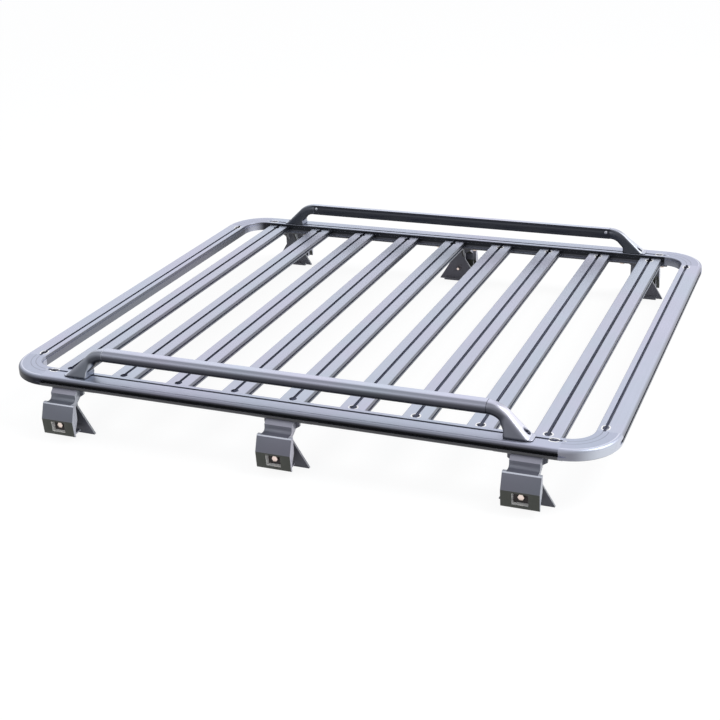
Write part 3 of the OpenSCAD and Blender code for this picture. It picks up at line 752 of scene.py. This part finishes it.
screw_steel = metal(
    "screw_steel", upper=srgb(216, 218, 226), shoulder=srgb(196, 198, 206), side=srgb(170, 172, 180),
    under=srgb(90, 91, 96), grain=0.06, roughness=0.28)
socket_black = metal(
    "socket_black", upper=srgb(60, 64, 84), shoulder=srgb(52, 56, 74), side=srgb(40, 42, 54),
    under=srgb(24, 25, 30), grain=0.06, roughness=0.35, metallic=0.6)
UPWARD = (0.0, 0.0, 1.0)
SCREW_X = JOINT_X - 0.010
SCREW_Y = 0.00176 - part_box("guard_tube_near")[1][1]
SCREW_Z = PLATFORM_TOP + 0.059
BOLT_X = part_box("guard_bracket_near_right")[1][0] - 0.0185
BOLT_SEAT_Z = PLATFORM_TOP + 0.0041
PIN_X = RAIL_END_X + 0.0055
BUTTON_PROFILE = [(0.0048, 0.0), (0.0048, 0.0008), (0.0043, 0.0018), (0.0031, 0.0025), (0.0024, 0.0027)]
CAP_PROFILE = [(0.0062, 0.0), (0.0065, 0.0003), (0.0065, 0.0052), (0.0060, 0.0058), (0.0040, 0.0058)]
PIN_PROFILE = [(0.0030, -0.001), (0.0030, 0.0002), (0.0026, 0.0006), (0.0018, 0.0006)]
quarters = [(x, y) for x in (-1, 1) for y in (-1, 1)]

button = turned_head("button_head", BUTTON_PROFILE, socket_radius=0.0017, socket_depth=0.0014)
set_fasteners("guard_rail_screws", button,
              [((x * SCREW_X, y * SCREW_Y, SCREW_Z), (0.0, -y, 0.0)) for x, y in quarters],
              screw_steel, 3)
cap = turned_head("cap_head", CAP_PROFILE, socket_radius=0.0028, socket_depth=0.0032)
set_fasteners("bracket_bolts", cap,
              [((x * BOLT_X, y * SLOT_Y, BOLT_SEAT_Z), UPWARD) for x, y in quarters],
              socket_black, 5)
pin = turned_head("pin_head", PIN_PROFILE, socket_radius=0.0012, socket_depth=0.0008)
set_fasteners("seam_screws", pin,
              [((x * PIN_X, y * SLOT_Y, PLATFORM_TOP), UPWARD) for x, y in quarters],
              screw_steel, 7)


# ---------------------------------------------------------------- floor, light, camera
# A plain white floor that keeps a faint shadow, one large soft lamp high on the
# right, a weaker one at the front, and an even white surround.
FLOOR_REACH = 30
LENS = 65.2
SENSOR_WIDTH = 36.0
FARTHEST_SEEN = 100.0
CAMERA_PLACE = (1.1937, -3.0524, PLATFORM_TOP + 1.2476)
CAMERA_RIGHT = (0.92829, 0.3702, -0.0351)
CAMERA_UP = (-0.11558, 0.37695, 0.91899)
CAMERA_BACK = (0.35344, -0.84904, 0.39271)

floor_mesh = bpy.data.meshes.new("floor")
floor_corners = [(x * FLOOR_REACH, y * FLOOR_REACH, 0) for x, y in ((-1, -1), (1, -1), (1, 1), (-1, 1))]
floor_mesh.from_pydata(floor_corners, [], [(0, 1, 2, 3)])
floor = bpy.data.objects.new("floor", floor_mesh)
bpy.context.scene.collection.objects.link(floor)
paper = bpy.data.materials.new("floor_paper")
paper.use_nodes = True
tree = paper.node_tree
tree.nodes.clear()


def seen_or_mirrored(tree):
    """1 for rays from the camera and for those that metal or glass sends on."""
    rays = put(tree, "ShaderNodeLightPath").outputs
    shown = maths(tree, "MAXIMUM", rays["Is Camera Ray"], rays["Is Glossy Ray"])
    return maths(tree, "MAXIMUM", shown, rays["Is Transmission Ray"])


glow = put(tree, "ShaderNodeEmission", {"Color": (1, 1, 1, 1), "Strength": 0.9})
shadowed = put(tree, "ShaderNodeBsdfDiffuse", {"Color": (0.18, 0.18, 0.18, 1)})
shown = put(tree, "ShaderNodeAddShader", {0: glow.outputs[0], 1: shadowed.outputs[0]})
bounce = put(tree, "ShaderNodeBsdfDiffuse", {"Color": (0.75, 0.75, 0.75, 1)})
floor_mix = put(tree, "ShaderNodeMixShader", {
    0: seen_or_mirrored(tree), 1: bounce.outputs[0], 2: shown.outputs[0]})
put(tree, "ShaderNodeOutputMaterial", {"Surface": floor_mix.outputs[0]})
floor.data.materials.append(paper)

world = bpy.data.worlds.new("surround")
bpy.context.scene.world = world
world.use_nodes = True
tree = world.node_tree
tree.nodes.clear()
white = put(tree, "ShaderNodeBackground", {"Color": (1, 1, 1, 1), "Strength": 1.0})
soft = put(tree, "ShaderNodeBackground", {"Color": (0.94, 0.96, 1.0, 1), "Strength": 0.5})
both = put(tree, "ShaderNodeMixShader", {0: seen_or_mirrored(tree), 1: soft.outputs[0], 2: white.outputs[0]})
put(tree, "ShaderNodeOutputWorld", {"Surface": both.outputs[0]})


def softbox(name, at, aim, size, power):
    """A square soft lamp turned toward a point."""
    lamp = bpy.data.lights.new(name, "AREA")
    lamp.size = size
    lamp.energy = power
    made = bpy.data.objects.new(name, lamp)
    made.location = at
    made.rotation_euler = (Vector(aim) - Vector(at)).to_track_quat("-Z", "Y").to_euler()
    bpy.context.scene.collection.objects.link(made)


softbox("key_lamp", at=(2.6, 0.3, 3.4), aim=(0, 0, 0.1), size=2.2, power=70.0)
softbox("front_lamp", at=(-1.5, -3.6, 2.4), aim=(0, 0, 0.1), size=2.0, power=18.0)

camera = bpy.data.objects.new("camera", bpy.data.cameras.new("camera"))
camera.data.sensor_width = SENSOR_WIDTH
camera.data.lens = LENS
camera.data.clip_end = FARTHEST_SEEN
turned = Matrix((CAMERA_RIGHT, CAMERA_UP, CAMERA_BACK)).transposed()
camera.matrix_world = Matrix.Translation(CAMERA_PLACE) @ turned.to_4x4()
bpy.context.scene.collection.objects.link(camera)
bpy.context.scene.camera = camera
bpy.context.scene.view_settings.view_transform = "Standard"
